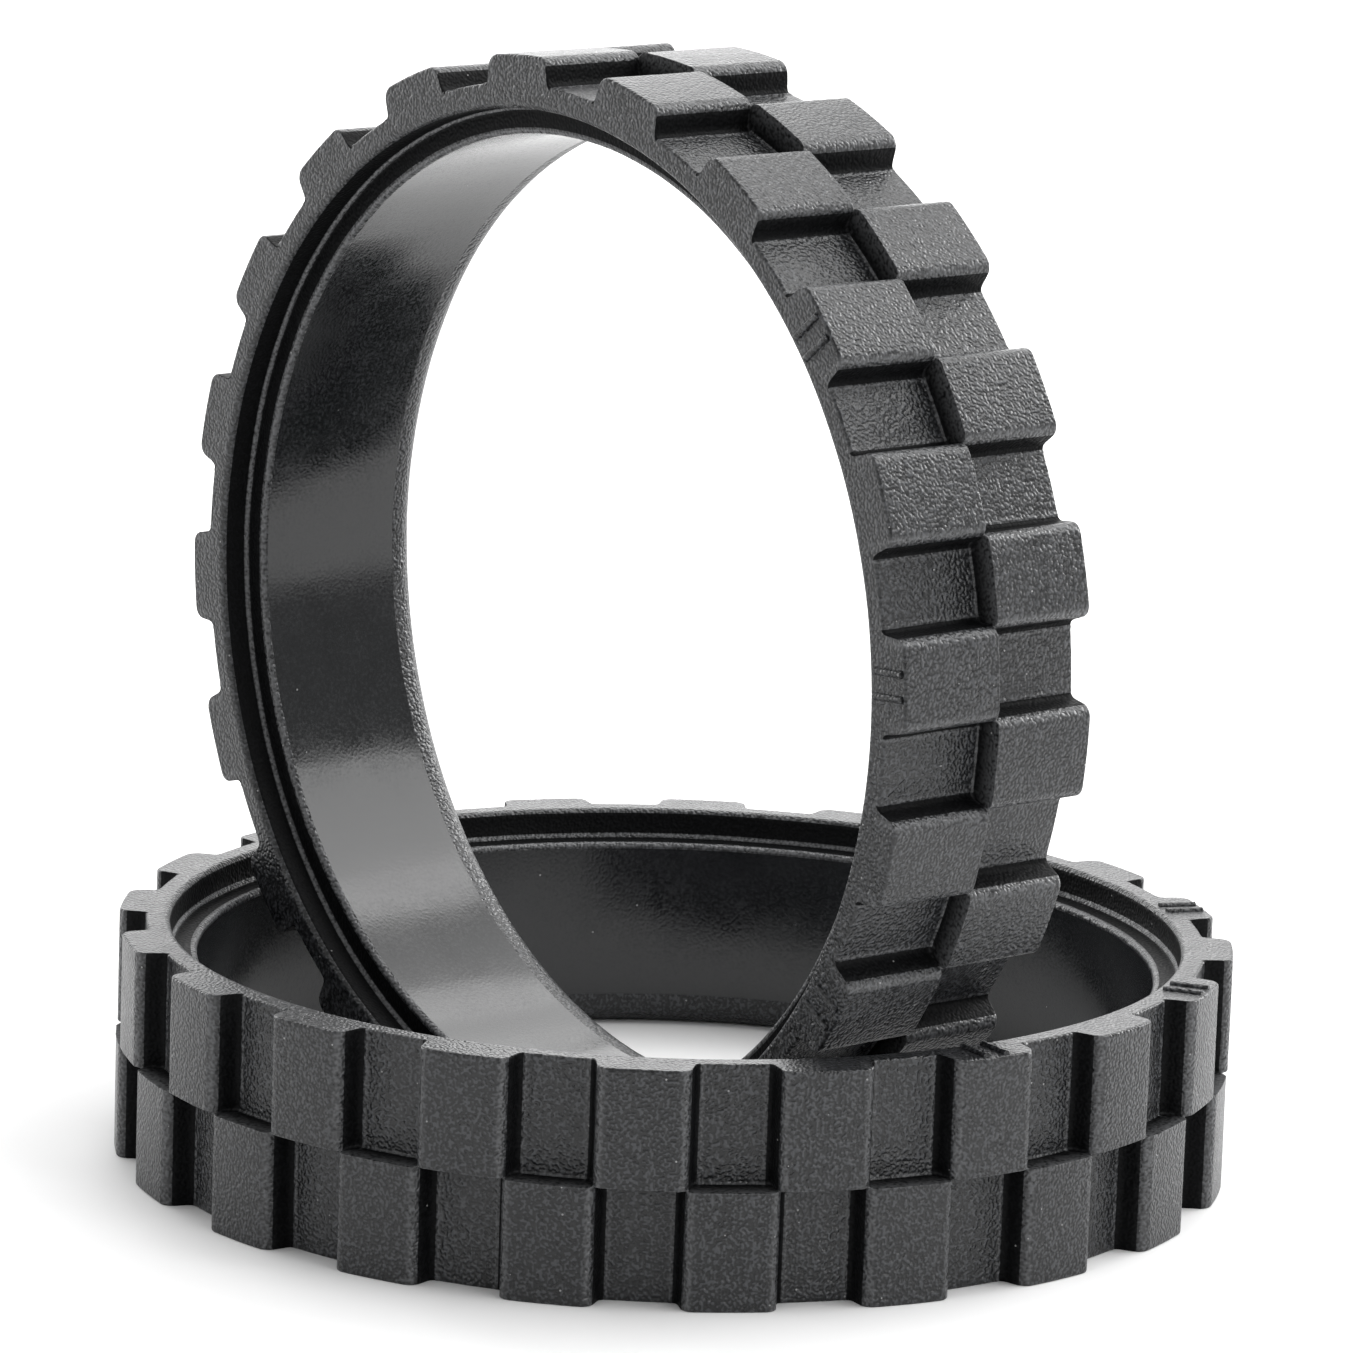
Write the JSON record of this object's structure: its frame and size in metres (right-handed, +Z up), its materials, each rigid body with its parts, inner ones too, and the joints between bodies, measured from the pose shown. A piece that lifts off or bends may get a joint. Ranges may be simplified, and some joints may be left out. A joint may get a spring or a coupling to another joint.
{
  "type": "drive wheel tire",
  "caption": "Ring-shaped rubber tires with a staggered block tread for a small drive wheel, one lying flat and its twin standing on edge in its hole.",
  "frame": {"origin": "on the floor at the centre of the lying tire's hole", "axes": "+Z up along the lying tire's axis, -Y towards the front, +X to the right"},
  "size_m": [0.072, 0.0722, 0.072],
  "materials": {
    "tire_rubber": "matte moulded black rubber, smoother and slightly glossy in the bore"
  },
  "bodies": {
    "lying": {"lying_tire": "tire_rubber"},
    "standing": {"standing_tire": "tire_rubber"}
  },
  "joints": [
    {"name": "standing_lift", "type": "slide", "parent": "lying", "child": "standing", "axis": [0, 0, 1], "range_m": [0, 0.04]}
  ]
}
